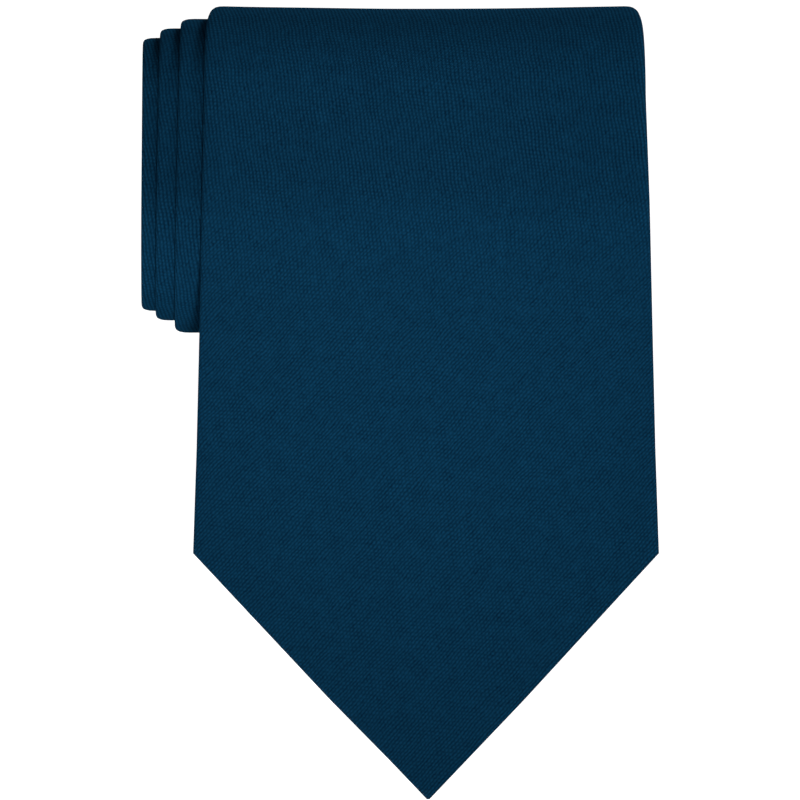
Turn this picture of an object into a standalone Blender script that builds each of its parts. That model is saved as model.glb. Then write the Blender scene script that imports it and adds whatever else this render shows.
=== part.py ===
"""A necktie rolled up from its narrow end, with its wide blade ramping down to the table.

The tie is one long folded band. Its outer face follows a path in the Y-Z plane: up a ramp
from the blade's point, over the roll, and inwards in flattened turns to the narrow end.
Every layer of the band is a section, in millimetres across the width and inwards from the
outer face, swept along that path. +Z is up, -Y is the blade's point, and the origin is the
bottom centre of the whole object. Lengths are in millimetres until a mesh is made.
"""

import math

import bmesh
import bpy
from mathutils import Vector

MM = 0.001

# The band as a whole
TIE_LENGTH = 1465.0
WALL = 0.25
PLY_GAP = 0.10
THICKNESS = ((0.0, 1.42), (104.0, 1.42), (216.0, 1.30), (640.0, 1.15), (1040.0, 1.0))

# Left and right edge of the band, by distance from the blade's point
POINT_SHOULDER = 44.9
TAIL_SHOULDER = 1443.0
EDGES = (
    (0.0, 4.0, 6.4),
    (POINT_SHOULDER, -37.7, 47.3),
    (84.9, -36.6, 46.2),
    (112.0, -36.1, 45.6),
    (165.0, -35.5, 44.4),
    (248.0, -41.2, 35.8),
    (328.0, -40.1, 32.9),
    (404.0, -44.7, 21.3),
    (478.0, -43.9, 18.2),
    (548.0, -47.3, 8.7),
    (616.0, -47.1, 2.9),
    (682.0, -46.6, -2.0),
    (811.0, -46.2, -10.0),
    (988.0, -46.4, -13.0),
    (1182.0, -46.0, -9.9),
    (TAIL_SHOULDER, -46.5, -6.5),
    (TIE_LENGTH, -27.6, -25.4),
)

# The path: a straight ramp, then turns with a flat stretch above and below
RAMP_ANGLE = math.radians(21.7)
RAMP_LENGTH = 104.3
FLAT = 20.4
INNER_FLAT = 19.4
TOP_REACH = (21.2, 19.3, 17.6, 15.8)
BOTTOM_REACH = (20.25, 17.75, 16.0, 14.3)
FIRST_CORE_TOP = 14.1
FIRST_CORE_BOTTOM = 12.7
CORE_PITCH = 1.4
CORE_TURNS = 9
OUTER_STEPS = 8
CORE_STEPS = 6
RAMP_STEPS = 2

# Splits between the pieces
HINGE_GAP = 0.3
SPLIT_BEFORE_FLAT_END = 2.0
SPLIT_GAP = 0.3
SEAM_GAP = 1.0
SEAM_THREAD = 0.4
NECK_STARTS_PAST = 820.0
TAIL_STARTS_PAST = 1030.0

# Small pieces
FOLD = 0.55
HEM = 11.0
SLIT_HALF = 0.5
POINT_SLIT_HALF = 0.2
BLADE_TACK_AT = 78.0
TAIL_TACK_AT = 1400.0
THREAD_HALF = 0.2
TACK_SPAN = (-3.0, 3.0)
TACK_WIDTH = 1.2
BLADE_TACK_DEPTH = (0.10, 0.55)
TAIL_TACK_DEPTH = (0.08, 0.26)
LINING_INSET = 0.9
LINING_FROM_POINT = 9.0
TIPPING = 0.13
BLADE_TIPPING = (6.0, 92.0)
TAIL_TIPPING = (1385.0, 1460.0)
LOOP_AT = 204.0
LOOP_HALF_WIDTH = 6.5
LOOP_HALF_LENGTH = 24.0
LOOP_DEPTH = (0.10, 0.50)
LOOP_STITCH_DEPTH = (0.58, 0.78)
LOOP_STITCH_INSET = 2.0
LOOP_STITCH_HALF = 0.5

NAVY = (0.004, 0.030, 0.060, 1.0)
LINING_NAVY = (0.006, 0.022, 0.045, 1.0)
WOOL = (0.62, 0.60, 0.54, 1.0)
THREAD_NAVY = (0.003, 0.016, 0.034, 1.0)


def interpolate(rows, s):
    """The values in a table of (distance, value, ...) rows at a distance along the band."""
    for low, high in zip(rows, rows[1:]):
        if s <= high[0]:
            share = (s - low[0]) / (high[0] - low[0])
            return [a + share * (b - a) for a, b in zip(low[1:], high[1:])]
    return list(rows[-1][1:])


def edges(s):
    return interpolate(EDGES, s)


def thickness(s):
    return interpolate(THICKNESS, s)[0]


def reaches():
    """Distance from the roll's axis to the outer face, above and below it, for each turn."""
    tops = list(TOP_REACH)
    bottoms = list(BOTTOM_REACH)
    for turn in range(CORE_TURNS):
        tops.append(FIRST_CORE_TOP - CORE_PITCH * turn)
        bottoms.append(FIRST_CORE_BOTTOM - CORE_PITCH * turn)
    return tops, bottoms


def make_path():
    """Stations (distance, y, z, heading) along the outer face, and the span of each flat.

    The heading falls as the path turns over the roll, so the outward normal is on its left.
    """
    tops, bottoms = reaches()
    axis_z = bottoms[0]
    length_y = (
        RAMP_LENGTH * math.cos(RAMP_ANGLE)
        + tops[0] * math.sin(RAMP_ANGLE)
        + FLAT
        + (tops[0] + bottoms[0]) / 2
    )
    point_z = axis_z + tops[0] * math.cos(RAMP_ANGLE) - RAMP_LENGTH * math.sin(RAMP_ANGLE)
    stations = [(0.0, -length_y / 2, point_z, RAMP_ANGLE)]
    flats = []

    def line(length):
        s, y, z, heading = stations[-1]
        end_y = y + length * math.cos(heading)
        end_z = z + length * math.sin(heading)
        stations.append((s + length, end_y, end_z, heading))

    def arc(radius, angle, steps):
        s, y, z, heading = stations[-1]
        centre_y = y + radius * math.sin(heading)
        centre_z = z - radius * math.cos(heading)
        for step in range(1, steps + 1):
            turned = angle * step / steps
            now = heading - turned
            end_y = centre_y - radius * math.sin(now)
            end_z = centre_z + radius * math.cos(now)
            stations.append((s + radius * turned, end_y, end_z, now))

    line(RAMP_LENGTH)
    arc(tops[0], RAMP_ANGLE, RAMP_STEPS)
    for turn, (top, bottom) in enumerate(zip(tops, bottoms)):
        steps = OUTER_STEPS if turn < len(TOP_REACH) else CORE_STEPS
        following = tops[turn + 1] if turn + 1 < len(tops) else bottom
        for radius in ((top + bottom) / 2, (bottom + following) / 2):
            start = stations[-1][0]
            flat = INNER_FLAT if flats else FLAT
            line(flat)
            flats.append((start, start + flat))
            arc(radius, math.pi, steps)
    return stations, flats


PATH, FLATS = make_path()


def path_at(s):
    """Position and heading at a distance; between stations the path is a straight facet."""
    for low, high in zip(PATH, PATH[1:]):
        if s <= high[0]:
            share = (s - low[0]) / (high[0] - low[0])
            return [a + share * (b - a) for a, b in zip(low[1:], high[1:])]
    return list(PATH[-1][1:])


def place(s, x, depth, pivot):
    """A point in metres from a pivot: across at x, and depth inwards from the outer face."""
    y, z, heading = path_at(s)
    inward_y = math.sin(heading)
    inward_z = -math.cos(heading)
    point = Vector((x, y + depth * inward_y, z + depth * inward_z)) * MM
    return point - pivot.location


def stations_between(start, end, extra=()):
    """The path's own stations inside a span, with its ends and any extra distances."""
    inside = [s for s, _, _, _ in PATH if start < s < end]
    inside += [s for s in extra if start < s < end]
    return sorted([start, end] + inside)


def material(name, colour, roughness):
    made = bpy.data.materials.new(name)
    made.use_nodes = True
    shader = made.node_tree.nodes["Principled BSDF"]
    shader.inputs["Base Color"].default_value = colour
    shader.inputs["Roughness"].default_value = roughness
    shader.inputs["Metallic"].default_value = 0.0
    return made


def add_pivot(name, y, z):
    """An empty on a body's joint axis, which runs along X. The body's pieces hang from it."""
    pivot = bpy.data.objects.new(name, None)
    pivot.location = Vector((0.0, y, z)) * MM
    bpy.context.scene.collection.objects.link(pivot)
    return pivot


def sweep(name, pivot, distances, section, colour, roughness=0.8):
    """One closed solid: a ring of section points at each distance, skinned and capped."""
    mesh = bmesh.new()
    rings = []
    for s in distances:
        ring = [mesh.verts.new(place(s, x, depth, pivot)) for x, depth in section(s)]
        rings.append(ring)
    corners = len(rings[0])
    for ring, following in zip(rings, rings[1:]):
        for i in range(corners):
            j = (i + 1) % corners
            mesh.faces.new((ring[i], ring[j], following[j], following[i]))
    mesh.faces.new(reversed(rings[0]))
    mesh.faces.new(rings[-1])
    bmesh.ops.recalc_face_normals(mesh, faces=mesh.faces)
    data = bpy.data.meshes.new(name)
    mesh.to_mesh(data)
    mesh.free()
    data.materials.append(material(name, colour, roughness))
    made = bpy.data.objects.new(name, data)
    made.parent = pivot
    bpy.context.scene.collection.objects.link(made)


def slit_half(s):
    """Half of the opening at the back: a hemmed V behind each point, then a narrow slit."""
    left, right = edges(s)
    half = (right - left) / 2
    ends = (
        (s, POINT_SHOULDER, BLADE_TACK_AT),
        (TIE_LENGTH - s, TIE_LENGTH - TAIL_SHOULDER, TIE_LENGTH - TAIL_TACK_AT),
    )
    for distance, shoulder, tack in ends:
        if distance <= shoulder:
            return max(POINT_SLIT_HALF, half - HEM)
        if distance < tack:
            share = (tack - distance) / (tack - shoulder)
            return SLIT_HALF + share * (half - HEM - SLIT_HALF)
    return SLIT_HALF


def shell_section(s):
    """The folded shell: face, two folded edges, and two back plies that meet at a slit."""
    left, right = edges(s)
    back = thickness(s)
    fold = min(FOLD, (right - left) / 6)
    inner = fold + PLY_GAP
    centre = (left + right) / 2
    half = slit_half(s)
    return [
        (centre - half, back),
        (left + fold, back),
        (left, back / 2),
        (left + fold, 0.0),
        (right - fold, 0.0),
        (right, back / 2),
        (right - fold, back),
        (centre + half, back),
        (centre + half, back - WALL),
        (right - inner, back - WALL),
        (right - inner, WALL),
        (left + inner, WALL),
        (left + inner, back - WALL),
        (centre - half, back - WALL),
    ]


def box_section(left_at, right_at, from_depth, to_depth):
    """A rectangular section whose sides are functions of the distance."""

    def section(s):
        left, right, top, bottom = left_at(s), right_at(s), from_depth(s), to_depth(s)
        return [(left, bottom), (left, top), (right, top), (right, bottom)]

    return section


def ply_section(from_depth, to_depth):
    """A flat ply inside the shell, from fold to fold."""
    return box_section(
        lambda s: edges(s)[0] + LINING_INSET,
        lambda s: edges(s)[1] - LINING_INSET,
        from_depth,
        to_depth,
    )


def middle(s):
    return sum(edges(s)) / 2


def add_shell(name, pivot, start, end):
    extra = [
        POINT_SHOULDER,
        BLADE_TACK_AT,
        TAIL_SHOULDER,
        TAIL_TACK_AT,
        HEM + POINT_SLIT_HALF,
        TIE_LENGTH - HEM - POINT_SLIT_HALF,
    ]
    sweep(name, pivot, stations_between(start, end, extra), shell_section, NAVY, 0.6)


def add_interlining(name, pivot, start, end, behind=0.0):
    """The wool ply, thinner by the room that a tipping takes behind it."""
    section = ply_section(
        lambda s: WALL + PLY_GAP,
        lambda s: thickness(s) - WALL - PLY_GAP - behind,
    )
    distances = stations_between(start, end, (POINT_SHOULDER, TAIL_SHOULDER))
    sweep(name, pivot, distances, section, WOOL, 0.95)


def add_tipping(name, pivot, start, end):
    """The lining that shows in the V behind a point, tucked under the shell's hems."""
    section = ply_section(
        lambda s: thickness(s) - WALL - PLY_GAP - TIPPING,
        lambda s: thickness(s) - WALL - PLY_GAP,
    )
    distances = stations_between(start, end, (POINT_SHOULDER, TAIL_SHOULDER))
    sweep(name, pivot, distances, section, LINING_NAVY, 0.5)


def add_slip_stitch(name, pivot, start, end):
    """The thread that closes the back, lying in the slit between the two back plies."""
    section = box_section(
        lambda s: middle(s) - THREAD_HALF,
        lambda s: middle(s) + THREAD_HALF,
        lambda s: thickness(s) - WALL,
        thickness,
    )
    sweep(name, pivot, stations_between(start, end), section, THREAD_NAVY)


def add_patch(name, pivot, at, half_along, span, depths, colour=THREAD_NAVY):
    """A small flat piece on the back of the band: span across it, depths behind its back."""
    near, far = depths
    section = box_section(
        lambda s: middle(at) + span[0],
        lambda s: middle(at) + span[1],
        lambda s: thickness(at) + near,
        lambda s: thickness(at) + far,
    )
    distances = stations_between(at - half_along, at + half_along)
    sweep(name, pivot, distances, section, colour)


def add_seam(name, pivot, at):
    """The thread of a seam across the face, in the gap between two panels of the shell."""
    section = box_section(
        lambda s: edges(s)[0] + FOLD,
        lambda s: edges(s)[1] - FOLD,
        lambda s: 0.0,
        lambda s: WALL,
    )
    distances = [at - SEAM_THREAD / 2, at + SEAM_THREAD / 2]
    sweep(name, pivot, distances, section, THREAD_NAVY)


def flat_middle_past(s):
    """The middle of the first flat stretch past a distance."""
    return next((start + end) / 2 for start, end in FLATS if start > s)


def body_spans():
    """Start and end of the band in each body: the flap, three turns and the core."""
    splits = [FLATS[i][1] - SPLIT_BEFORE_FLAT_END for i in (1, 3, 5)]
    return {
        "blade_flap": (0.0, RAMP_LENGTH - HINGE_GAP / 2),
        "outer_turn": (RAMP_LENGTH + HINGE_GAP / 2, splits[0]),
        "second_turn": (splits[0] + SPLIT_GAP, splits[1]),
        "third_turn": (splits[1] + SPLIT_GAP, splits[2]),
        "core": (splits[2] + SPLIT_GAP, TIE_LENGTH),
    }


def build_blade_flap(pivot, span):
    start, end = span
    add_shell("blade_flap_shell", pivot, start, end)
    behind = TIPPING + PLY_GAP
    add_interlining("blade_flap_interlining", pivot, LINING_FROM_POINT, end, behind)
    add_tipping("blade_tipping", pivot, *BLADE_TIPPING)
    add_slip_stitch("blade_flap_slip_stitch", pivot, BLADE_TACK_AT + TACK_WIDTH, end)
    half = TACK_WIDTH / 2
    add_patch("blade_bar_tack", pivot, BLADE_TACK_AT, half, TACK_SPAN, BLADE_TACK_DEPTH)


def build_turn(name, pivot, span):
    add_shell(name + "_shell", pivot, *span)
    add_interlining(name + "_interlining", pivot, *span)
    add_slip_stitch(name + "_slip_stitch", pivot, *span)


def build_keeper_loop(pivot):
    """The strap on the blade's back that holds the tail, and the stitching at each end."""
    across = (-LOOP_HALF_LENGTH, LOOP_HALF_LENGTH)
    add_patch("keeper_loop", pivot, LOOP_AT, LOOP_HALF_WIDTH, across, LOOP_DEPTH, NAVY)
    inset = LOOP_HALF_LENGTH - LOOP_STITCH_INSET
    half_along = LOOP_HALF_WIDTH - LOOP_STITCH_INSET
    for side, x in (("left", -inset), ("right", inset)):
        across = (x - LOOP_STITCH_HALF, x + LOOP_STITCH_HALF)
        name = "keeper_loop_stitching_" + side
        add_patch(name, pivot, LOOP_AT, half_along, across, LOOP_STITCH_DEPTH)


def build_core(pivot, span):
    start, end = span
    neck = flat_middle_past(NECK_STARTS_PAST)
    tail = flat_middle_past(TAIL_STARTS_PAST)
    half = SEAM_GAP / 2
    add_shell("core_blade_shell", pivot, start, neck - half)
    add_seam("blade_to_neck_seam", pivot, neck)
    add_shell("neck_shell", pivot, neck + half, tail - half)
    add_seam("neck_to_tail_seam", pivot, tail)
    add_shell("tail_shell", pivot, tail + half, end)
    split = TAIL_TIPPING[0] - SPLIT_GAP
    last = end - LINING_FROM_POINT
    behind = TIPPING + PLY_GAP
    add_interlining("core_interlining", pivot, start, split)
    add_interlining("tail_point_interlining", pivot, split + SPLIT_GAP, last, behind)
    add_tipping("tail_tipping", pivot, *TAIL_TIPPING)
    add_slip_stitch("core_slip_stitch", pivot, start, TAIL_TACK_AT - TACK_WIDTH)
    half = TACK_WIDTH / 2
    add_patch("tail_bar_tack", pivot, TAIL_TACK_AT, half, TACK_SPAN, TAIL_TACK_DEPTH)


def build():
    for old in list(bpy.data.objects):
        bpy.data.objects.remove(old)
    spans = body_spans()
    hinge_y, hinge_z, _ = path_at(RAMP_LENGTH)
    build_blade_flap(add_pivot("blade_flap_pivot", hinge_y, hinge_z), spans["blade_flap"])
    axis_y = hinge_y + TOP_REACH[0] * math.sin(RAMP_ANGLE) + FLAT / 2
    pivots = {
        name: add_pivot(name + "_pivot", axis_y, BOTTOM_REACH[0])
        for name in ("outer_turn", "second_turn", "third_turn", "core")
    }
    for name in ("outer_turn", "second_turn", "third_turn"):
        build_turn(name, pivots[name], spans[name])
    build_keeper_loop(pivots["outer_turn"])
    build_core(pivots["core"], spans["core"])


build()
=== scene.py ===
"""Looks for the rolled necktie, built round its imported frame.

Every layer of the tie is a section, across the width and inwards from the tie's outer face, swept
along the path that this face follows: up a ramp from the blade's point, over the roll, and inwards
turn by turn. Lengths are in millimetres until a mesh is made. The origin and the axes are the
frame's: +Z up, -Y towards the blade's point, the bottom centre of the object at (0, 0, 0).
"""

import math

import bpy
import numpy as np
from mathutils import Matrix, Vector


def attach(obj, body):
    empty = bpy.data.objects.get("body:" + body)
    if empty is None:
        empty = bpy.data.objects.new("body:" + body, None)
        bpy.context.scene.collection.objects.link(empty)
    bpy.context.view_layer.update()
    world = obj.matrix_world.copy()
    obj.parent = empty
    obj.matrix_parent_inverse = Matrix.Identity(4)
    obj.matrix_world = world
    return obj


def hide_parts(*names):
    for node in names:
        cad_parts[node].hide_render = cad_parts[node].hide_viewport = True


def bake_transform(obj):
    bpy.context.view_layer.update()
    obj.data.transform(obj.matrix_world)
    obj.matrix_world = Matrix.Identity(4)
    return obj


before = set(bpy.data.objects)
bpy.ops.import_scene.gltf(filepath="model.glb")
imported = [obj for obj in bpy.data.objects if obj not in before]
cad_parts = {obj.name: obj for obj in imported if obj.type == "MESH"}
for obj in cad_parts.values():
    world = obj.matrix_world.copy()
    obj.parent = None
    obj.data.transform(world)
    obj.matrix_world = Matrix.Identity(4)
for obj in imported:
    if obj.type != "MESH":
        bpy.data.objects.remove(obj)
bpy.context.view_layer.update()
MM = 0.001

# The path of the outer face
TIE_LENGTH = 1465.0
RAMP_ANGLE = math.radians(21.7)
RAMP_LENGTH = 104.3
FLAT = 20.4
INNER_FLAT = 19.4
TOP_REACH = (21.2, 19.3, 17.6, 15.8)
BOTTOM_REACH = (20.25, 17.75, 16.0, 14.3)
FIRST_CORE_TOP = 14.1
FIRST_CORE_BOTTOM = 12.7
CORE_PITCH = 1.4
CORE_TURNS = 9

# The band: left and right edge, and thickness, by distance from the blade's point
POINT_SHOULDER = 44.9
TAIL_SHOULDER = 1443.0
EDGES = np.array(
    [
        (0.0, 4.95, 5.45),
        (7.2, -1.92, 12.3),
        (18.1, -12.66, 22.7),
        (36.4, -29.8, 39.5),
        (POINT_SHOULDER, -37.74, 47.34),
        (63.8, -37.1, 46.7),
        (84.9, -36.6, 46.2),
        (109.4, -36.15, 45.65),
        (129.8, -35.8, 45.0),
        (165.0, -35.3, 44.2),
        (248.0, -41.2, 35.8),
        (328.0, -40.1, 32.9),
        (404.0, -44.7, 21.3),
        (478.0, -43.9, 18.2),
        (548.0, -47.3, 8.7),
        (616.0, -47.1, 2.9),
        (682.0, -46.6, -2.0),
        (811.0, -46.2, -10.0),
        (988.0, -46.4, -13.0),
        (1182.0, -46.0, -9.9),
        (TAIL_SHOULDER, -46.5, -6.5),
        (TIE_LENGTH, -26.8, -26.2),
    ]
)
CURVED_EDGES = (129.8, 1182.0)
THICKNESS = np.array(
    [(0.0, 1.42), (104.0, 1.42), (216.0, 1.30), (640.0, 1.15), (1040.0, 1.0)]
)
WALL = 0.25
PLY_GAP = 0.10

# Details of the section
HEM = 11.0
SLIT_HALF = 0.06
POINT_SLIT_HALF = 0.05
BLADE_TACK_AT = 78.0
TAIL_TACK_AT = 1400.0
BLADE_FOLD = 1.1
TURN_FOLD = 2.2
POINT_ROUND = 1.0
CORNER_TUCKS = ((1.8, 5.0, 10.0), (0.6, 3.0, 4.0), (0.5, 3.0, 4.0), (0.5, 3.0, 4.0))


def make_segments():
    """(start, y, z, heading, radius) of each stretch of the path; radius 0 is a straight."""
    tops = list(TOP_REACH) + [FIRST_CORE_TOP - CORE_PITCH * i for i in range(CORE_TURNS)]
    bottoms = list(BOTTOM_REACH)
    bottoms += [FIRST_CORE_BOTTOM - CORE_PITCH * i for i in range(CORE_TURNS)]
    length_y = (
        RAMP_LENGTH * math.cos(RAMP_ANGLE)
        + tops[0] * math.sin(RAMP_ANGLE)
        + FLAT
        + (tops[0] + bottoms[0]) / 2
    )
    point_z = bottoms[0] + tops[0] * math.cos(RAMP_ANGLE) - RAMP_LENGTH * math.sin(RAMP_ANGLE)
    segments = []
    state = [0.0, -length_y / 2, point_z, RAMP_ANGLE]

    def line(length):
        s, y, z, heading = state
        segments.append((s, y, z, heading, 0.0))
        state[:] = (
            s + length,
            y + length * math.cos(heading),
            z + length * math.sin(heading),
            heading,
        )

    def arc(radius, angle):
        s, y, z, heading = state
        segments.append((s, y, z, heading, radius))
        now = heading - angle
        state[:] = (
            s + radius * angle,
            y + radius * (math.sin(heading) - math.sin(now)),
            z + radius * (math.cos(now) - math.cos(heading)),
            now,
        )

    line(RAMP_LENGTH)
    arc(tops[0], RAMP_ANGLE)
    for turn, (top, bottom) in enumerate(zip(tops, bottoms)):
        following = tops[turn + 1] if turn + 1 < len(tops) else bottom
        for radius in ((top + bottom) / 2, (bottom + following) / 2):
            line(INNER_FLAT if len(segments) > 2 else FLAT)
            arc(radius, math.pi)
    segments.append((*state, 0.0))
    return np.array(segments)


SEGMENTS = make_segments()
FIRST_REAR_ARC = 3


def path(s):
    """Y, Z and heading of the outer face at distances s."""
    i = np.clip(np.searchsorted(SEGMENTS[:, 0], s, side="right") - 1, 0, len(SEGMENTS) - 1)
    start, y, z, heading, radius = (SEGMENTS[i, k] for k in range(5))
    straight = radius == 0.0
    run = s - start
    safe = np.where(straight, 1.0, radius)
    now = heading - np.where(straight, 0.0, run / safe)
    along_y = np.where(straight, run * np.cos(heading), safe * (np.sin(heading) - np.sin(now)))
    along_z = np.where(straight, run * np.sin(heading), safe * (np.cos(now) - np.cos(heading)))
    return y + along_y, z + along_z, now


def arc_point(arc, share):
    """Distance of a point a share of the way round an arc of the roll, counted from the rear."""
    i = FIRST_REAR_ARC + 2 * arc
    return SEGMENTS[i, 0] + share * (SEGMENTS[i + 1, 0] - SEGMENTS[i, 0])


def smooth(t):
    t = np.clip(t, 0.0, 1.0)
    return t * t * (3 - 2 * t)


def bump(s, centre, width):
    return np.exp(-(((s - centre) / width) ** 2))


# How the cloth leaves the ideal path. The silhouette is the share of an arc that looks outermost
# when the roll is seen square to the ramp.
SILHOUETTE = (90.0 - math.degrees(RAMP_ANGLE)) / 180.0
CREST_RISE = 0.62
CREST_WIDTH = 16.0
CREST_FADE_TURNS = 6
HOLLOW_FROM = 95.0
HOLLOW_EASE = 30.0
HOLLOW_ALONG = (160.0, 186.0, 225.0, 260.0)
HOLLOW_DEPTH = (0.50, 0.0, 0.0, 0.14)
HOLLOW_LEVEL = 0.2
BROAD_LUMP = 0.08
NARROW_LUMP = 0.05
LUMPS_FROM_POINT = 25.0
LUMPS_LOST_ON_ROLL = 0.75


def corner_tuck(s):
    """How far the folded edges draw in where the turns bend, at the roll's back and front."""
    tuck = np.zeros_like(s)
    for turn, (depth, past, width) in enumerate(CORNER_TUCKS):
        tuck += depth * bump(s, arc_point(2 * turn, SILHOUETTE) + past, width)
        if turn:
            tuck += depth * bump(s, arc_point(2 * turn - 1, SILHOUETTE) - past, width)
    return tuck


def edges(s):
    """Left and right edge. Along the turns the edge eases from one given point to the next."""
    rows = EDGES[:, 0]
    i = np.clip(np.searchsorted(rows, s, side="right") - 1, 0, len(rows) - 2)
    share = (s - rows[i]) / (rows[i + 1] - rows[i])
    curved = (s > CURVED_EDGES[0]) & (s < CURVED_EDGES[1])
    share = np.where(curved, smooth(share), share)
    tuck = corner_tuck(s)
    left = EDGES[i, 1] + share * (EDGES[i + 1, 1] - EDGES[i, 1]) + tuck
    right = EDGES[i, 2] + share * (EDGES[i + 1, 2] - EDGES[i, 2]) - tuck
    return left, right


def thickness(s):
    return np.interp(s, THICKNESS[:, 0], THICKNESS[:, 1])


def rise(s, x):
    """How far the cloth stands out from the ideal path: a hollow, fuller crests, soft lumps."""
    left, right = edges(s)
    across = 2 * (x - (left + right) / 2) / (right - left)
    on_roll = smooth((s - HOLLOW_FROM) / HOLLOW_EASE)
    hollow = np.interp(s, HOLLOW_ALONG, HOLLOW_DEPTH) * (across**2 - HOLLOW_LEVEL)
    crest = np.zeros_like(s)
    for turn in range(CORE_TURNS):
        share = min(1.0, (CORE_TURNS - turn) / CREST_FADE_TURNS)
        crest = crest + share * bump(s, arc_point(2 * turn, SILHOUETTE), CREST_WIDTH)
    lumps = BROAD_LUMP * np.sin(x / 7.5 + 0.6) * np.sin(s / 9.7 + 1.1)
    lumps += NARROW_LUMP * np.sin(x / 3.9 - s / 12.0)
    ease = smooth(s / LUMPS_FROM_POINT) * (1 - LUMPS_LOST_ON_ROLL * on_roll)
    return on_roll * hollow + ease * lumps + CREST_RISE * crest


def place(s, x, depth):
    """Points in metres: across at x, depth inwards from the outer face, at distances s."""
    y, z, heading = path(s)
    inwards = depth - rise(s, x)
    y = y + inwards * np.sin(heading)
    z = z - inwards * np.cos(heading)
    return np.stack([x, y, z], axis=-1) * MM


# Stations along the band
TIP_STATIONS = (0.0, 0.08, 0.2, 0.4, 0.7, 1.1)
RAMP_STEP = 1.25
FLAT_STEP = 2.6
OUTER_ARC_STEP = math.radians(3.0)
CORE_ARC_STEP = math.radians(9.0)
FINE_UNTIL = 640.0
LEAST_STEP = 0.04


def all_stations(marks):
    """Distances over the whole band, close together where it bends or comes to a point."""
    found = [*marks, TIE_LENGTH, POINT_SHOULDER, TAIL_SHOULDER, BLADE_TACK_AT, TAIL_TACK_AT]
    found += list(TIP_STATIONS) + [TIE_LENGTH - s for s in TIP_STATIONS]
    for row, following in zip(SEGMENTS, SEGMENTS[1:]):
        length = following[0] - row[0]
        step = RAMP_STEP if row[0] == 0.0 else FLAT_STEP
        if row[4]:
            step = row[4] * (OUTER_ARC_STEP if row[0] < FINE_UNTIL else CORE_ARC_STEP)
        found += list(row[0] + np.linspace(0.0, length, round(length / step) + 1))
    found += list(np.arange(TAIL_SHOULDER, TIE_LENGTH, RAMP_STEP))
    found = np.unique(np.array([s for s in found if s <= TIE_LENGTH]))
    needed = np.array(marks)
    kept = [found[0]]
    for s in found[1:]:
        if s in needed or s - kept[-1] > LEAST_STEP:
            kept.append(s)
    return np.array(kept)


# Sections: for distances s, the x and depth of every point round one closed loop
FACE_COLUMNS = 40
FOLD_COLUMNS = 9
BACK_COLUMNS = 8
INNER_COLUMNS = 12
LINING_COLUMNS = 16
CUT_EDGE = 0.12
INNER_FOLD_MARGIN = 0.1
POINT_BLUNT = 0.04
LINING_INSET = 2.6
POINT_LINING_INSET = 1.5
WIDE_UNTIL = (RAMP_LENGTH, 200.0)


def column(shares, low, high):
    """Points at shares of the way from low to high, one row for each distance."""
    return low[:, None] + np.asarray(shares)[None, :] * (high - low)[:, None]


def slit_half(s):
    """Half of the opening at the back: a hemmed V behind each point, then a narrow slit."""
    left, right = edges(s)
    hemmed = (right - left) / 2 - HEM
    result = np.full_like(s, SLIT_HALF)
    for distance, shoulder, tack in (
        (s, POINT_SHOULDER, BLADE_TACK_AT),
        (TIE_LENGTH - s, TIE_LENGTH - TAIL_SHOULDER, TIE_LENGTH - TAIL_TACK_AT),
    ):
        share = np.clip((tack - distance) / (tack - shoulder), 0.0, 1.0)
        opened = SLIT_HALF + share**1.15 * (hemmed - SLIT_HALF)
        result = np.where(distance < tack, opened, result)
        result = np.where(distance <= shoulder, np.maximum(POINT_SLIT_HALF, hemmed), result)
    return result


def fold_points(edge, inwards, depth_from, depth_to, reach):
    """A rounded fold from one depth to another, bulging out to the edge."""
    angles = np.linspace(0.0, math.pi, FOLD_COLUMNS)[None, :]
    halfway = ((depth_from + depth_to) / 2)[:, None]
    half = ((depth_from - depth_to) / 2)[:, None]
    x = edge[:, None] + inwards * reach[:, None] * (1.0 - np.sin(angles) ** 0.85)
    return x, halfway + half * np.cos(angles)


def ply_columns(cut, edge, count):
    """Columns of a back ply, from its cut edge out to a fold."""
    side = np.sign(edge - cut)
    first = cut + side * np.minimum(CUT_EDGE, np.abs(edge - cut) / 3)
    rest = column(np.arange(count - 1) / (count - 1), first, edge)
    return np.concatenate([cut[:, None], rest], axis=1)


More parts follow.
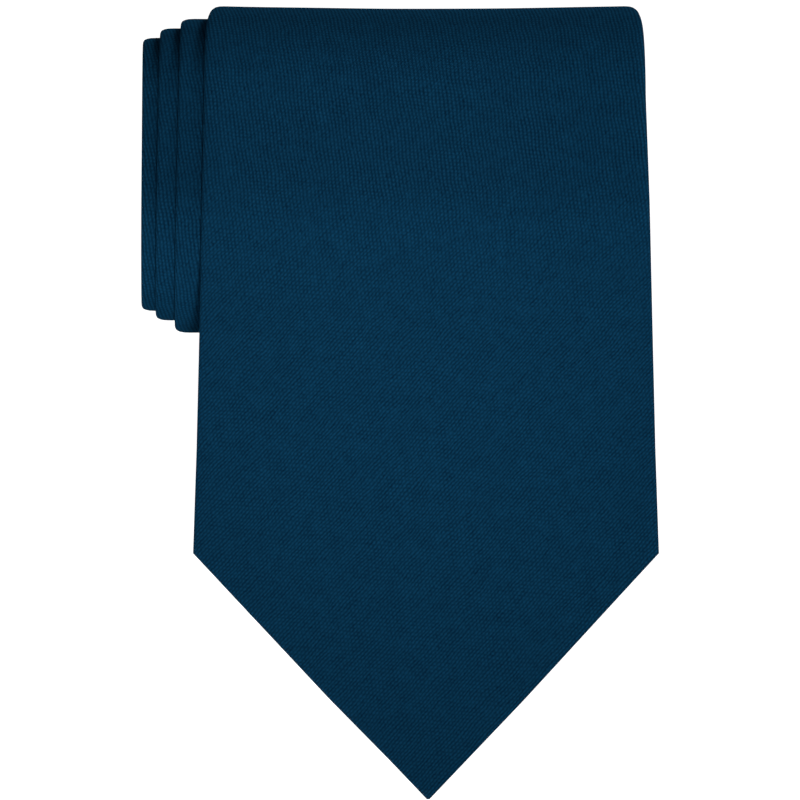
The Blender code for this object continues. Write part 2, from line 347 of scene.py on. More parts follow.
def shell_section(s):
    """The folded silk: back ply, fold, face, fold, back ply, and the same again inside."""
    left, right = edges(s)
    back = thickness(s)
    width = right - left
    fold = np.minimum(np.interp(s, WIDE_UNTIL, (BLADE_FOLD, TURN_FOLD)), width / 4)
    inner = fold + INNER_FOLD_MARGIN
    centre = (left + right) / 2
    half = np.minimum(slit_half(s), width / 2 - inner - 0.02 * width)
    shares = np.linspace(0.0, 1.0, FACE_COLUMNS)
    shares = 0.5 * shares + 0.25 * (1 - np.cos(math.pi * shares))
    face = np.zeros((len(s), FACE_COLUMNS - 2))
    outer_ply = np.repeat(back[:, None], BACK_COLUMNS, axis=1)
    inner_face = np.full((len(s), INNER_COLUMNS), WALL)
    blocks = [
        (ply_columns(centre - half, left + fold, BACK_COLUMNS), outer_ply),
        fold_points(left, 1.0, back, 0.0 * s, fold),
        (column(shares, left + fold, right - fold)[:, 1:-1], face),
        fold_points(right, -1.0, 0.0 * s, back, fold),
        (ply_columns(centre + half, right - fold, BACK_COLUMNS)[:, ::-1], outer_ply),
        (ply_columns(centre + half, right - inner, BACK_COLUMNS), outer_ply - WALL),
        (column(np.linspace(0.0, 1.0, INNER_COLUMNS), right - inner, left + inner), inner_face),
        (ply_columns(centre - half, left + inner, BACK_COLUMNS)[:, ::-1], outer_ply - WALL),
    ]
    x = np.concatenate([b[0] for b in blocks], axis=1)
    depth = np.concatenate([b[1] for b in blocks], axis=1)
    from_end = np.minimum(s, TIE_LENGTH - s)
    thinned = np.sqrt(np.clip((from_end + POINT_BLUNT) / POINT_ROUND, 0.0, 1.0))[:, None]
    return x, back[:, None] / 2 + (depth - back[:, None] / 2) * thinned


def ply_section(near, far):
    """A flat ply inside the shell, between two depths that are functions of the distance."""

    def section(s):
        left, right = edges(s)
        inset = np.interp(s, WIDE_UNTIL, (POINT_LINING_INSET, LINING_INSET))
        inset = np.minimum(inset, (right - left) / 4)
        there = column(np.linspace(0.0, 1.0, LINING_COLUMNS), left + inset, right - inset)
        across = np.ones((1, LINING_COLUMNS))
        x = np.concatenate([there, there[:, ::-1]], axis=1)
        depth = np.concatenate([near(s)[:, None] * across, far(s)[:, None] * across], axis=1)
        return x, depth

    return section


# Meshes
def closed_volume(points):
    """Six times the signed volume inside a swept loop, caps left out."""
    here = points[:-1]
    beside = np.roll(points, -1, axis=1)[:-1]
    after = points[1:]
    centre = points.reshape(-1, 3).mean(axis=0)
    return np.sum(np.cross(beside - centre, after - centre) * (here - centre))


def normals_of(points):
    """Smooth normals of a grid whose columns run round a closed loop."""
    across = np.roll(points, -1, axis=1) - np.roll(points, 1, axis=1)
    normals = np.cross(across, np.gradient(points, axis=0))
    return normals / np.maximum(np.linalg.norm(normals, axis=2, keepdims=True), 1e-12)


def skin(name, points, normals, around, along, material):
    """A closed mesh over rows of points, capped at both ends, with its UVs in metres of cloth."""
    rows, corners = points.shape[:2]
    a = (np.arange(rows - 1)[:, None] * corners + np.arange(corners)[None, :]).ravel()
    next_corner = (np.arange(corners) + 1) % corners
    b = (np.arange(rows - 1)[:, None] * corners + next_corner[None, :]).ravel()
    sides = np.stack([a, b, b + corners, a + corners], axis=1)
    first_cap = list(range(corners))[::-1]
    last_cap = list(range((rows - 1) * corners, rows * corners))
    mesh = bpy.data.meshes.new(name)
    mesh.from_pydata(points.reshape(-1, 3), [], sides.tolist() + [first_cap, last_cap])
    loop_normals = [normals.reshape(-1, 3)[sides.ravel()]]
    for cap, step in ((0, 1), (-1, -1)):
        facing = (points[cap] - points[cap + step]).mean(axis=0)
        facing /= np.linalg.norm(facing)
        loop_normals.append(np.repeat(facing[None, :], corners, axis=0))
    grid = np.stack(np.broadcast_arrays(around, along[:, None]), axis=2)
    quads = np.stack([grid[:-1, :-1], grid[:-1, 1:], grid[1:, 1:], grid[1:, :-1]], axis=2)
    uvs = np.concatenate([quads.reshape(-1, 2), grid[0, :-1][::-1], grid[-1, :-1]])
    layer = mesh.uv_layers.new(name="weave")
    layer.data.foreach_set("uv", (uvs * MM).astype(np.float32).ravel())
    mesh.shade_smooth()
    mesh.normals_split_custom_set(np.concatenate(loop_normals).tolist())
    mesh.materials.append(material)
    made = bpy.data.objects.new(name, mesh)
    bpy.context.scene.collection.objects.link(made)
    return made


def distance_round(x, depth):
    """Distance round each loop in the cloth, from the middle of the side next to the face."""
    closed_x = np.concatenate([x, x[:, :1]], axis=1)
    closed_depth = np.concatenate([depth, depth[:, :1]], axis=1)
    step = np.hypot(np.diff(closed_x, axis=1), np.diff(closed_depth, axis=1))
    run = np.concatenate([np.zeros((len(x), 1)), np.cumsum(step, axis=1)], axis=1)
    facing = closed_depth < depth.min(axis=1, keepdims=True) + 1e-6
    first = np.where(facing, run, np.inf).min(axis=1, keepdims=True)
    last = np.where(facing, run, -np.inf).max(axis=1, keepdims=True)
    return run - (first + last) / 2


def sweep_spans(section, spans, material):
    """One layer of the band, cut at the spans' ends. Its normals match across the cuts."""
    ends = [end for span in spans.values() for end in span]
    s = all_stations(ends)
    s = s[(s >= min(ends)) & (s <= max(ends))]
    x, depth = section(s)
    points = place(s[:, None], x, depth)
    normals = normals_of(points)
    around = distance_round(x, depth)
    made = {}
    for name, (start, end) in spans.items():
        own = (s >= start) & (s <= end)
        made[name] = skin(name, points[own], normals[own], around[own], s[own], material)
    return made


def tube(points, radius, sides=8):
    """Rings of points round a route, for a thread."""
    tangent = np.gradient(points, axis=0)
    tangent /= np.linalg.norm(tangent, axis=1, keepdims=True)
    reference = np.array([0.31, 0.52, 0.79])
    sideways = np.cross(tangent, reference)
    sideways /= np.linalg.norm(sideways, axis=1, keepdims=True)
    upright = np.cross(sideways, tangent)
    turn = np.linspace(0.0, 2 * math.pi, sides, endpoint=False)
    rings = points[:, None, :] + radius * (
        np.cos(turn)[None, :, None] * sideways[:, None, :]
        + np.sin(turn)[None, :, None] * upright[:, None, :]
    )
    return rings


def thread(name, route, radius, material):
    """A closed thread along one route of (s, x, depth) rows in millimetres."""
    s, x, depth = np.asarray(route, float).T
    rings = tube(place(s, x, depth), radius * MM)
    if closed_volume(rings) < 0:
        rings = rings[:, ::-1]
    run = np.linalg.norm(np.diff(rings.mean(axis=1), axis=0), axis=1) / MM
    along = np.concatenate([[0.0], np.cumsum(run)])
    around = np.linspace(0.0, 2 * math.pi * radius, rings.shape[1] + 1)[None, :]
    around = np.repeat(around, len(along), axis=0)
    return skin(name, rings, normals_of(rings), around, along, material)


def join(name, parts):
    """Several meshes made into one piece."""
    first = parts[0]
    context = {"active_object": first, "selected_editable_objects": parts}
    with bpy.context.temp_override(**context):
        bpy.ops.object.join()
    first.name = name
    first.data.name = name
    return first


# Materials. WARP and WEFT are how often a thread repeats across and along the band, per mm.
WARP = (1.342, -1.2325)
WEFT = (1.5885, 1.5885)
SILK_DARK = (0.0016, 0.0155, 0.0365)
SILK_LIGHT = (0.0038, 0.0400, 0.0890)
RIDGES_UNTIL = 86.0
PILLARS_FROM = 118.0


class Graph:
    """A material's nodes. Cloth coordinates are in millimetres round and along the band."""

    def __init__(self, name):
        self.material = bpy.data.materials.new(name)
        self.material.use_nodes = True
        self.tree = self.material.node_tree
        self.shader = self.tree.nodes["Principled BSDF"]

    def add(self, kind, inputs, **settings):
        node = self.tree.nodes.new(kind)
        for key, value in settings.items():
            setattr(node, key, value)
        for key, value in inputs.items():
            self.put(node.inputs[key], value)
        return node

    def put(self, socket, value):
        if isinstance(value, bpy.types.NodeSocket):
            self.tree.links.new(value, socket)
        else:
            socket.default_value = value

    def math(self, operation, *values):
        return self.add("ShaderNodeMath", dict(enumerate(values)), operation=operation).outputs[0]

    def plus(self, *values):
        total = values[0]
        for value in values[1:]:
            total = self.math("ADD", total, value)
        return total

    def times(self, a, b):
        return self.math("MULTIPLY", a, b)

    def cloth(self):
        uv = self.add("ShaderNodeUVMap", {}, uv_map="weave").outputs[0]
        scaled = self.add("ShaderNodeVectorMath", {0: uv, "Scale": 1 / MM}, operation="SCALE")
        split = self.add("ShaderNodeSeparateXYZ", {0: scaled.outputs[0]})
        return scaled.outputs[0], split.outputs[0], split.outputs[1]

    def vector(self, x, y):
        return self.add("ShaderNodeCombineXYZ", {0: x, 1: y}).outputs[0]

    def noise(self, vector, scale, detail=2.0, size=1.0):
        """Smooth noise from -size / 2 to size / 2."""
        node = self.add("ShaderNodeTexNoise", {"Vector": vector, "Scale": scale, "Detail": detail})
        return self.times(self.math("SUBTRACT", node.outputs[0], 0.5), size)

    def turns(self, u, v, rates, shift):
        """Phase, in turns, of threads that repeat at these rates a millimetre."""
        return self.plus(self.times(u, rates[0]), self.times(v, rates[1]), shift)

    def wave(self, phase, size):
        return self.times(self.math("COSINE", self.times(phase, 2 * math.pi)), size)

    def half_wave(self, phase):
        return self.math("SINE", self.times(phase, math.pi))

    def colour(self, share, dark, light):
        mix = self.add("ShaderNodeMix", {"Factor": share}, data_type="RGBA", clamp_factor=False)
        self.put(mix.inputs["A"], (*dark, 1.0))
        self.put(mix.inputs["B"], (*light, 1.0))
        self.put(self.shader.inputs["Base Color"], mix.outputs["Result"])

    def relief(self, height, distance):
        inputs = {"Height": height, "Strength": 1.0, "Distance": distance}
        node = self.add("ShaderNodeBump", inputs)
        self.put(self.shader.inputs["Normal"], node.outputs[0])

    def roughness(self, height, base, swing):
        self.put(self.shader.inputs["Roughness"], self.plus(self.times(height, -swing), base))

    def finish(self, **values):
        for key, value in values.items():
            self.put(self.shader.inputs[key.replace("_", " ")], value)
        return self.material


def make_silk():
    """A plain weave cut on the bias, with slubs, uneven thread pitch and soft mottling.

    Slanting ridges show on the ramp. On the roll they give way to upright pillars.
    """
    g = Graph("tie_silk_weave")
    flat, u, v = g.cloth()
    warp = g.turns(u, v, WARP, g.noise(flat, 0.16, 2.0, 1.7))
    weft = g.turns(u, v, WEFT, g.noise(flat, 0.19, 2.0, 1.5))
    crossings = g.times(g.half_wave(warp), g.half_wave(weft))
    crossings = g.times(crossings, g.plus(g.noise(flat, 0.12, 2.0, 0.5), 0.30))
    ease = {"Value": v, "From Min": RIDGES_UNTIL, "From Max": PILLARS_FROM}
    on_roll = g.add("ShaderNodeMapRange", ease).outputs["Result"]
    ridges = g.times(g.wave(warp, -0.40), g.plus(g.times(on_roll, -0.65), 1.0))
    pillars = g.wave(g.times(g.plus(warp, weft), 0.5), -0.27)
    weave = g.plus(crossings, ridges, g.times(pillars, on_roll), g.wave(weft, -0.03))
    slub = g.noise(g.vector(warp, g.times(weft, 0.12)), 1.3, 2.0, 0.9)
    slub_across = g.noise(g.vector(g.times(warp, 0.1), weft), 1.1, 2.0, 0.6)
    fleck = g.noise(g.vector(g.times(warp, 1.4), g.times(weft, 0.9)), 1.0, 3.0, 1.1)
    mottling = g.plus(g.noise(flat, 0.35, 3.0, 0.4), g.noise(flat, 0.06, 2.0, 0.15))
    tone = g.plus(weave, slub, slub_across, fleck, mottling)
    g.colour(g.plus(g.times(tone, 0.82), 0.48), SILK_DARK, SILK_LIGHT)
    g.relief(g.plus(weave, g.times(fleck, 0.4)), 0.00005)
    g.roughness(weave, 0.62, 0.12)
    return g.finish(
        Specular_IOR_Level=0.0,
        Sheen_Weight=0.06,
        Sheen_Roughness=0.4,
        Sheen_Tint=(0.08, 0.42, 0.75, 1.0),
    )


def make_satin():
    """The lining: a fine satin whose floats run along the band, with faint bumped creases and
    their painted shade.
    """
    g = Graph("lining_satin_weave")
    flat, u, v = g.cloth()
    floats = g.wave(g.turns(u, v, (3.2, 0.4), g.noise(flat, 0.3, 2.0, 0.8)), 0.25)
    steps = g.wave(g.turns(u, v, (1.3, 2.1), g.noise(flat, 0.5, 2.0, 0.6)), 0.15)
    streaks = g.noise(g.vector(g.times(u, 2.5), g.times(v, 0.08)), 1.0, 3.0, 0.9)
    crease_bumps_and_painted_shade = g.noise(g.vector(g.times(u, 0.12), g.times(v, 0.05)), 1.0, 2.0, 0.8)
    weave = g.plus(floats, steps, g.times(streaks, 0.5))
    # The creases' shade is painted into the colour: lighter along their ridges, darker in their
    # hollows.
    tone = g.plus(weave, streaks, crease_bumps_and_painted_shade)
    g.colour(g.plus(g.times(tone, 0.6), 0.5), (0.0022, 0.010, 0.022), (0.006, 0.030, 0.060))
    g.relief(g.plus(weave, crease_bumps_and_painted_shade), 0.00003)
    g.roughness(weave, 0.34, 0.10)
    return g.finish(
        Specular_IOR_Level=0.35,
        Anisotropic=0.55,
        Sheen_Weight=0.1,
        Sheen_Tint=(0.3, 0.5, 0.8, 1.0),
    )


def make_wool():
    """The interlining: brushed undyed wool, its loose weave half lost under the nap."""
    g = Graph("wool_interlining_nap")
    flat, u, v = g.cloth()
    warp = g.turns(u, v, (0.55, 0.55), g.noise(flat, 0.4, 2.0, 0.7))
    weft = g.turns(u, v, (0.5, -0.5), g.noise(flat, 0.35, 2.0, 0.7))
    weave = g.times(g.times(g.half_wave(warp), g.half_wave(weft)), 0.35)
    nap = g.noise(g.vector(g.times(u, 1.8), g.times(v, 1.1)), 1.6, 5.0, 1.2)
    tufts = g.noise(flat, 0.25, 3.0, 0.6)
    tone = g.plus(weave, nap, tufts)
    g.colour(g.plus(g.times(tone, 0.7), 0.5), (0.42, 0.38, 0.30), (0.74, 0.71, 0.63))
    g.relief(g.plus(weave, nap), 0.00012)
    g.roughness(nap, 0.92, 0.06)
    return g.finish(Specular_IOR_Level=0.15, Sheen_Weight=0.35, Sheen_Roughness=0.6)


def make_thread():
    """Three-ply sewing thread: the plies wind round it, with loose fibres between them."""
    g = Graph("sewing_thread_twist")
    flat, u, v = g.cloth()
    plies = g.wave(g.turns(u, v, (3.3, 1.6), g.noise(flat, 0.8, 2.0, 0.3)), 0.4)
    fibres = g.noise(g.vector(g.times(u, 6.0), g.times(v, 1.5)), 1.5, 3.0, 0.8)
    tone = g.plus(plies, fibres)
    g.colour(g.plus(g.times(tone, 0.7), 0.5), (0.001, 0.008, 0.018), (0.005, 0.034, 0.070))
    g.relief(tone, 0.00005)
    g.roughness(plies, 0.5, 0.12)
    return g.finish(Specular_IOR_Level=0.2, Sheen_Weight=0.15, Sheen_Roughness=0.4)


# Where the band's layers are cut, and how each stretch follows the bodies
FRONT_END = arc_point(0, 0.5)
FIRST_BEND_END = arc_point(1, 0.25)
SECOND_END = arc_point(2, 0.5)
SECOND_BEND_END = arc_point(3, 0.25)
THIRD_END = arc_point(4, 0.5)
THIRD_BEND_END = arc_point(5, 0.25)
NECK_STARTS_PAST = 820.0
TAIL_STARTS_PAST = 1030.0
SEAM_HALF = 0.3
INTERLINING_FROM_POINT = 9.0
TIPPING = 0.13
BLADE_TIPPING = (6.0, 92.0)
TAIL_TIPPING = (1385.0, 1460.0)
CORE_LINING_END = 1384.8
LINING_GAP = 0.3
ROOM_EASE = 5.0


def point_on_path(s, further=0.0):
    """A point in metres on the outer face, or further along Y from it."""
    y, z, _ = path(np.array([s]))
    return (0.0, (float(y[0]) + further) * MM, float(z[0]) * MM)


def follow(piece, stretch):
    """The front and the bends have their placing baked into their meshes; any other stretch rides
    on the body of its name.
    """
    if stretch == "front":
        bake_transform(piece)
    elif stretch == "first_bend":
        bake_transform(piece)
    elif stretch == "second_bend":
        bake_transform(piece)
    elif stretch == "third_bend":
        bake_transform(piece)
    else:
        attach(piece, stretch)


def flat_middle_past(s):
    """The middle of the first flat stretch of the roll past a distance."""
    return next(row[0] + INNER_FLAT / 2 for row in SEGMENTS[2::2] if row[0] > s)


def declare_cloth(piece, section, start, end, held):
    """Works out a layer's section at 200 distances from its start to its end; nothing more is done
    with it.
    """
    s = np.linspace(start, end, 200)
    x, depth = section(s)


def layer_spans(first, last):
    """The stretches of a layer that runs from one distance to another."""
    return {
        "front": (first, FRONT_END),
        "first_bend": (FRONT_END, FIRST_BEND_END),
        "second_turn": (FIRST_BEND_END, SECOND_END),
        "second_bend": (SECOND_END, SECOND_BEND_END),
        "third_turn": (SECOND_BEND_END, THIRD_END),
        "third_bend": (THIRD_END, THIRD_BEND_END),
        "core": (THIRD_BEND_END, last),
    }


def replaced_nodes(stretch, layer):
    """The CAD nodes that a stretch of a layer stands for."""
    if stretch == "front":
        return ["blade_flap_" + layer, "outer_turn_" + layer]
    if stretch in ("second_turn", "third_turn", "core"):
        return [stretch + "_" + layer]
    return []


def build_silk(silk):
    neck = flat_middle_past(NECK_STARTS_PAST)
    tail = flat_middle_past(TAIL_STARTS_PAST)
    stretches = layer_spans(0.0, neck - SEAM_HALF)
    spans = {name + "_silk": span for name, span in stretches.items()}
    spans["core_blade_silk"] = spans.pop("core_silk")
    spans["neck_silk"] = (neck + SEAM_HALF, tail - SEAM_HALF)
    spans["tail_silk"] = (tail + SEAM_HALF, TIE_LENGTH)
    panels = {
        "core_blade_silk": "core_blade_shell",
        "neck_silk": "neck_shell",
        "tail_silk": "tail_shell",
    }
    for name, piece in sweep_spans(shell_section, spans, silk).items():
        stretch = name.removesuffix("_silk")
        if name in panels:
            follow(piece, "core")
            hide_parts(panels[name])
        else:
            follow(piece, stretch)
            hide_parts(*replaced_nodes(stretch, "shell"))
        declare_cloth(piece, shell_section, *spans[name], "folded")
    return neck, tail


def lining_near(s):
    return np.full_like(s, WALL + PLY_GAP)


def lining_far(s):
    """The interlining's back, which leaves room for a tipping behind each point."""
    blade_end = BLADE_TIPPING[1]
    ends = (blade_end, blade_end + ROOM_EASE, CORE_LINING_END - ROOM_EASE, CORE_LINING_END)
    room = np.interp(s, ends, (1.0, 0.0, 0.0, 1.0))
    return thickness(s) - WALL - PLY_GAP - room * (TIPPING + PLY_GAP)


def build_interlining(wool):
    section = ply_section(lining_near, lining_far)
    stretches = layer_spans(INTERLINING_FROM_POINT, CORE_LINING_END)
    spans = {name + "_wool": span for name, span in stretches.items()}
    last = TIE_LENGTH - INTERLINING_FROM_POINT
    spans["tail_point_wool"] = (CORE_LINING_END + LINING_GAP, last)
    for name, piece in sweep_spans(section, spans, wool).items():
        stretch = name.removesuffix("_wool")
        if stretch == "tail_point":
            follow(piece, "core")
            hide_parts("tail_point_interlining")
        else:
            follow(piece, stretch)
            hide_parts(*replaced_nodes(stretch, "interlining"))
        declare_cloth(piece, section, *spans[name], "laid")


def build_tippings(satin):
    section = ply_section(
        lambda s: thickness(s) - WALL - PLY_GAP - TIPPING,
        lambda s: thickness(s) - WALL - PLY_GAP,
    )
    spans = {"blade_tipping_satin": BLADE_TIPPING}
    blade = sweep_spans(section, spans, satin)["blade_tipping_satin"]
    follow(blade, "blade_flap")
    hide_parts("blade_tipping")
    spans = {"tail_tipping_satin": TAIL_TIPPING}
    tail = sweep_spans(section, spans, satin)["tail_tipping_satin"]
    follow(tail, "core")
    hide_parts("tail_tipping")
    for piece, span in ((blade, BLADE_TIPPING), (tail, TAIL_TIPPING)):
        declare_cloth(piece, section, *span, "laid")


# Threads
STITCH_PITCH = 5.2
STITCH_REACH = 0.8
STITCH_RADIUS = 0.15
STITCH_STEP = 0.6
TACK_HALF_SPAN = 3.0
TACK_HALF_WIDTH = 0.75
TACK_WRAPS = 21
TACK_CORES = (-0.35, 0.0, 0.35)
TACK_CLEARANCE = 1.2
BLADE_TACK_HEIGHT = 0.5
TAIL_TACK_HEIGHT = 0.3
SEAM_STITCH_PITCH = 1.3


def band_middle(s):
    left, right = edges(s)
    return (left + right) / 2


def stitch_route(start, end):
    """The slip stitch: it crosses the slit to and fro, and dips into each ply's edge."""
    s = np.linspace(start, end, round((end - start) / STITCH_STEP) + 1)
    swing = np.sin(2 * math.pi * s / STITCH_PITCH)
    x = band_middle(s) + STITCH_REACH * swing
    depth = thickness(s) + 0.05 - 0.22 * swing**2
    return np.stack([s, x, depth], axis=1)


def build_slip_stitch(material):
    spans = layer_spans(BLADE_TACK_AT + TACK_CLEARANCE, TAIL_TACK_AT - TACK_CLEARANCE)
    for stretch, (start, end) in spans.items():
        name = stretch + "_stitch_thread"
        piece = thread(name, stitch_route(start, end), STITCH_RADIUS, material)
        follow(piece, stretch)
        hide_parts(*replaced_nodes(stretch, "slip_stitch"))


def build_bar_tack(name, node, body, at, height, material):
    """A bar of close wraps over three core threads, across the band's back."""
    here = np.array([at])
    centre = float(band_middle(here)[0])
    back = float(thickness(here)[0])
    parts = []
    turn = np.linspace(0.0, math.pi, 13)
    for x in np.linspace(-TACK_HALF_SPAN, TACK_HALF_SPAN, TACK_WRAPS):
        lean = 0.12 * np.cos(turn)
        route = np.stack(
            [
                at - TACK_HALF_WIDTH * np.cos(turn),
                centre + x + lean,
                back - 0.1 + (height - 0.05) * np.sin(turn) ** 0.7,
            ],
            axis=1,
        )
        parts.append(thread(name + "_wrap", route, 0.15, material))
    for side in TACK_CORES:
        x = np.linspace(-TACK_HALF_SPAN - 0.3, TACK_HALF_SPAN + 0.3, 24)
        route = np.stack([at + side + 0 * x, centre + x, back + 0.08 + 0 * x], axis=1)
        parts.append(thread(name + "_core", route, 0.14, material))
    piece = join(name, parts)
    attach(piece, body)
    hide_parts(node)


def build_seam(name, node, at, material):
    """Close stitches that draw two panels of the face together."""
    left, right = (float(edge[0]) for edge in edges(np.array([at])))
    parts = []
    turn = np.linspace(-1.0, 1.0, 9)
    count = round((right - left - 3.0) / SEAM_STITCH_PITCH)
    for x in np.linspace(left + 1.5, right - 1.5, count):
        route = np.stack([at + 0.75 * turn, x + 0.4 * turn, 0.10 * turn**2 - 0.02], axis=1)
        parts.append(thread(name + "_stitch", route, 0.12, material))
    x = np.linspace(left + 1.0, right - 1.0, 60)
    route = np.stack([at + 0 * x, x, 0.16 + 0 * x], axis=1)
    parts.append(thread(name + "_run", route, 0.14, material))
    piece = join(name, parts)
    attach(piece, "core")
    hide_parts(node)


# The keeper loop: a folded strap across the blade's back
LOOP_AT = 204.0
LOOP_HALF_WIDTH = 6.5
LOOP_HALF_LENGTH = 24.0
LOOP_NEAR = 0.10
LOOP_FAR = 0.50
LOOP_STITCH_INSET = 2.0


def build_keeper_loop(silk, thread_material):
    centre = float(band_middle(np.array([LOOP_AT]))[0])
    back = float(thickness(np.array([LOOP_AT]))[0])
    x = np.linspace(-LOOP_HALF_LENGTH, LOOP_HALF_LENGTH, 61)
    turn = np.linspace(0.0, 2 * math.pi, 60, endpoint=False)
    along = np.sign(np.cos(turn)) * np.abs(np.cos(turn)) ** 0.35
    deep = np.sign(np.sin(turn)) * np.abs(np.sin(turn)) ** 0.8
    end_fold = np.clip((LOOP_HALF_LENGTH - np.abs(x)) / 0.3, 0.0, 1.0) ** 0.5
    held = 0.05 * bump(np.abs(x), LOOP_HALF_LENGTH - LOOP_STITCH_INSET, 1.0)
    half_depth = (LOOP_FAR - LOOP_NEAR) / 2 * (0.3 + 0.7 * end_fold) - held
    s = LOOP_AT + LOOP_HALF_WIDTH * along[None, :] + 0 * x[:, None]
    depth = back + (LOOP_NEAR + LOOP_FAR) / 2 - held[:, None] + half_depth[:, None] * deep[None, :]
    points = place(s, centre + x[:, None] + 0 * s, depth)
    if closed_volume(points) < 0:
        points = points[:, ::-1]
        s = s[:, ::-1]
        depth = depth[:, ::-1]
    around = distance_round(s, depth)
    piece = skin("keeper_strap", points, normals_of(points), around, x + LOOP_AT, silk)
    follow(piece, "first_bend")
    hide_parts("keeper_loop")
    reach = LOOP_HALF_LENGTH - LOOP_STITCH_INSET
    build_loop_stitching("left", centre - reach, back, thread_material)
    build_loop_stitching("right", centre + reach, back, thread_material)


def build_loop_stitching(side, x, back, material):
    """A short row of back stitches that holds one end of the strap."""
    name = "keeper_stitches_" + side
    parts = []
    turn = np.linspace(-1.0, 1.0, 11)
    for s in np.linspace(LOOP_AT - 3.8, LOOP_AT + 3.8, 5):
        depth = back + LOOP_FAR + 0.14 - 0.26 * turn**4
        route = np.stack([s + 0.85 * turn, x + 0.12 * turn, depth], axis=1)
        parts.append(thread(name + "_stitch", route, 0.15, material))
    piece = join(name, parts)
    follow(piece, "first_bend")
    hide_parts("keeper_loop_stitching_" + side)


# The set
CAMERA_DISTANCE = 6.0
VIEW_WIDTH = 0.14605
SENSOR = 36.0
TARGET_ALONG_RAMP = 72.88
TARGET_X = 0.05
FLOOR_HALF = 3.0
FLOOR_DROP = 0.0002
FLOOR_GLOW = 0.95
WORLD_LEVEL = 0.13
KEY_AIM = 102.0
KEY_FROM = (4.0, 42.0)
KEY_DISTANCE = 0.9
KEY_CONE = 15.0
KEY_RADIUS = 0.06
KEY_LEVEL = 0.72
PANEL_DISTANCE = 1.6
PANELS = (
    # name, azimuth, elevation, size, level
    ("front_fill", 0.0, 30.0, 0.6, 0.36),
    ("right_fill", 100.0, 50.0, 1.0, 0.10),
    ("left_fill", -75.0, 32.0, 1.0, 0.18),
    ("rear_rim", 140.0, 12.0, 0.6, 0.60),
)


def build_camera():
    """Square on to the ramp, its width at the ramp's plane being the width of the view."""
    tip = np.array(place(np.array([0.0]), np.array([TARGET_X]), np.array([0.0]))[0])
    up = np.array([0.0, math.cos(RAMP_ANGLE), math.sin(RAMP_ANGLE)])
    towards = np.array([0.0, -math.sin(RAMP_ANGLE), math.cos(RAMP_ANGLE)])
    target = tip + up * TARGET_ALONG_RAMP * MM
    data = bpy.data.cameras.new("camera")
    data.sensor_width = SENSOR
    data.lens = SENSOR * CAMERA_DISTANCE / VIEW_WIDTH
    data.clip_start = 0.05
    data.clip_end = 50.0
    camera = bpy.data.objects.new("camera", data)
    camera.location = target + towards * CAMERA_DISTANCE
    camera.rotation_euler = (RAMP_ANGLE, 0.0, 0.0)
    bpy.context.scene.collection.objects.link(camera)
    bpy.context.scene.camera = camera


def build_floor():
    """White to the camera and dim to everything else, so it doesn't light the tie's sides."""
    g = Graph("pale_floor")
    place_in = g.add("ShaderNodeTexCoord", {}).outputs["Object"]
    grain = g.noise(place_in, 40.0, 3.0, 1.0)
    g.colour(g.plus(grain, 0.5), (0.34, 0.34, 0.34), (0.36, 0.36, 0.36))
    g.roughness(grain, 0.9, 0.05)
    seen = g.add("ShaderNodeLightPath", {}).outputs["Is Camera Ray"]
    g.finish(
        Specular_IOR_Level=0.0,
        Emission_Color=(1.0, 1.0, 1.0, 1.0),
        Emission_Strength=g.times(seen, FLOOR_GLOW),
    )
    mesh = bpy.data.meshes.new("floor")
    h = FLOOR_HALF
    mesh.from_pydata([(-h, -h, 0), (h, -h, 0), (h, h, 0), (-h, h, 0)], [], [(0, 1, 2, 3)])
    mesh.materials.append(g.material)
    floor = bpy.data.objects.new("floor", mesh)
    floor.location.z = -FLOOR_DROP
    bpy.context.scene.collection.objects.link(floor)


def direction_from(azimuth, elevation):
    """A unit vector towards a light. Azimuth 0 is in front of the tie, and 90 on its right."""
    a = math.radians(azimuth)
    e = math.radians(elevation)
    return Vector((math.sin(a) * math.cos(e), -math.cos(a) * math.cos(e), math.sin(e)))


def add_light(name, data, aim, direction, distance):
    light = bpy.data.objects.new(name, data)
    light.location = Vector(aim) + direction * distance
    light.rotation_euler = direction.to_track_quat("Z", "Y").to_euler()
    light.visible_camera = False
    bpy.context.scene.collection.objects.link(light)


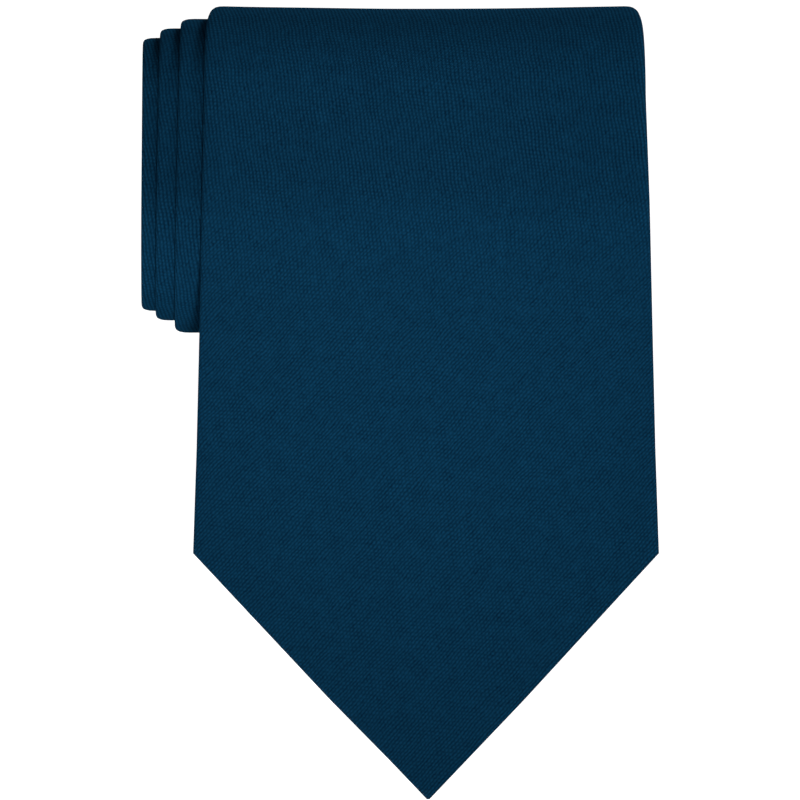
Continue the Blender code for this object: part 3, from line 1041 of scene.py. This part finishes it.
def add_panel(name, azimuth, elevation, size, level):
    """A square panel. Level is what it adds to a white surface that faces it."""
    data = bpy.data.lights.new(name, "AREA")
    data.size = size
    data.energy = level * (math.pi * PANEL_DISTANCE) ** 2
    origin = (0.0, 0.0, 0.0)
    add_light(name, data, origin, direction_from(azimuth, elevation), PANEL_DISTANCE)


def add_spot():
    """The key light: a soft-edged spot, brightest at its aim on the upper ramp."""
    data = bpy.data.lights.new("key", "SPOT")
    data.spot_size = math.radians(KEY_CONE)
    data.spot_blend = 1.0
    data.shadow_soft_size = KEY_RADIUS
    data.energy = KEY_LEVEL * (2 * math.pi * KEY_DISTANCE) ** 2
    add_light("key", data, point_on_path(KEY_AIM), direction_from(*KEY_FROM), KEY_DISTANCE)


def build_lights():
    world = bpy.data.worlds.new("studio")
    world.use_nodes = True
    tree = world.node_tree
    seen = tree.nodes.new("ShaderNodeLightPath").outputs["Is Camera Ray"]
    strength = tree.nodes.new("ShaderNodeMapRange")
    strength.inputs["To Min"].default_value = WORLD_LEVEL
    strength.inputs["To Max"].default_value = 1.0
    tree.links.new(seen, strength.inputs["Value"])
    tree.links.new(strength.outputs["Result"], tree.nodes["Background"].inputs["Strength"])
    tree.nodes["Background"].inputs["Color"].default_value = (1.0, 1.0, 1.0, 1.0)
    bpy.context.scene.world = world
    add_spot()
    for panel in PANELS:
        add_panel(*panel)
    bpy.context.scene.view_settings.view_transform = "Standard"


def build():
    build_camera()
    silk = make_silk()
    satin = make_satin()
    wool = make_wool()
    sewing = make_thread()
    neck, tail = build_silk(silk)
    build_interlining(wool)
    build_tippings(satin)
    build_slip_stitch(sewing)
    at, height = BLADE_TACK_AT, BLADE_TACK_HEIGHT
    build_bar_tack("blade_tack_wraps", "blade_bar_tack", "blade_flap", at, height, sewing)
    at, height = TAIL_TACK_AT, TAIL_TACK_HEIGHT
    build_bar_tack("tail_tack_wraps", "tail_bar_tack", "core", at, height, sewing)
    build_seam("neck_seam_stitches", "blade_to_neck_seam", neck, sewing)
    build_seam("tail_seam_stitches", "neck_to_tail_seam", tail, sewing)
    build_keeper_loop(silk, sewing)
    build_floor()
    build_lights()


build()
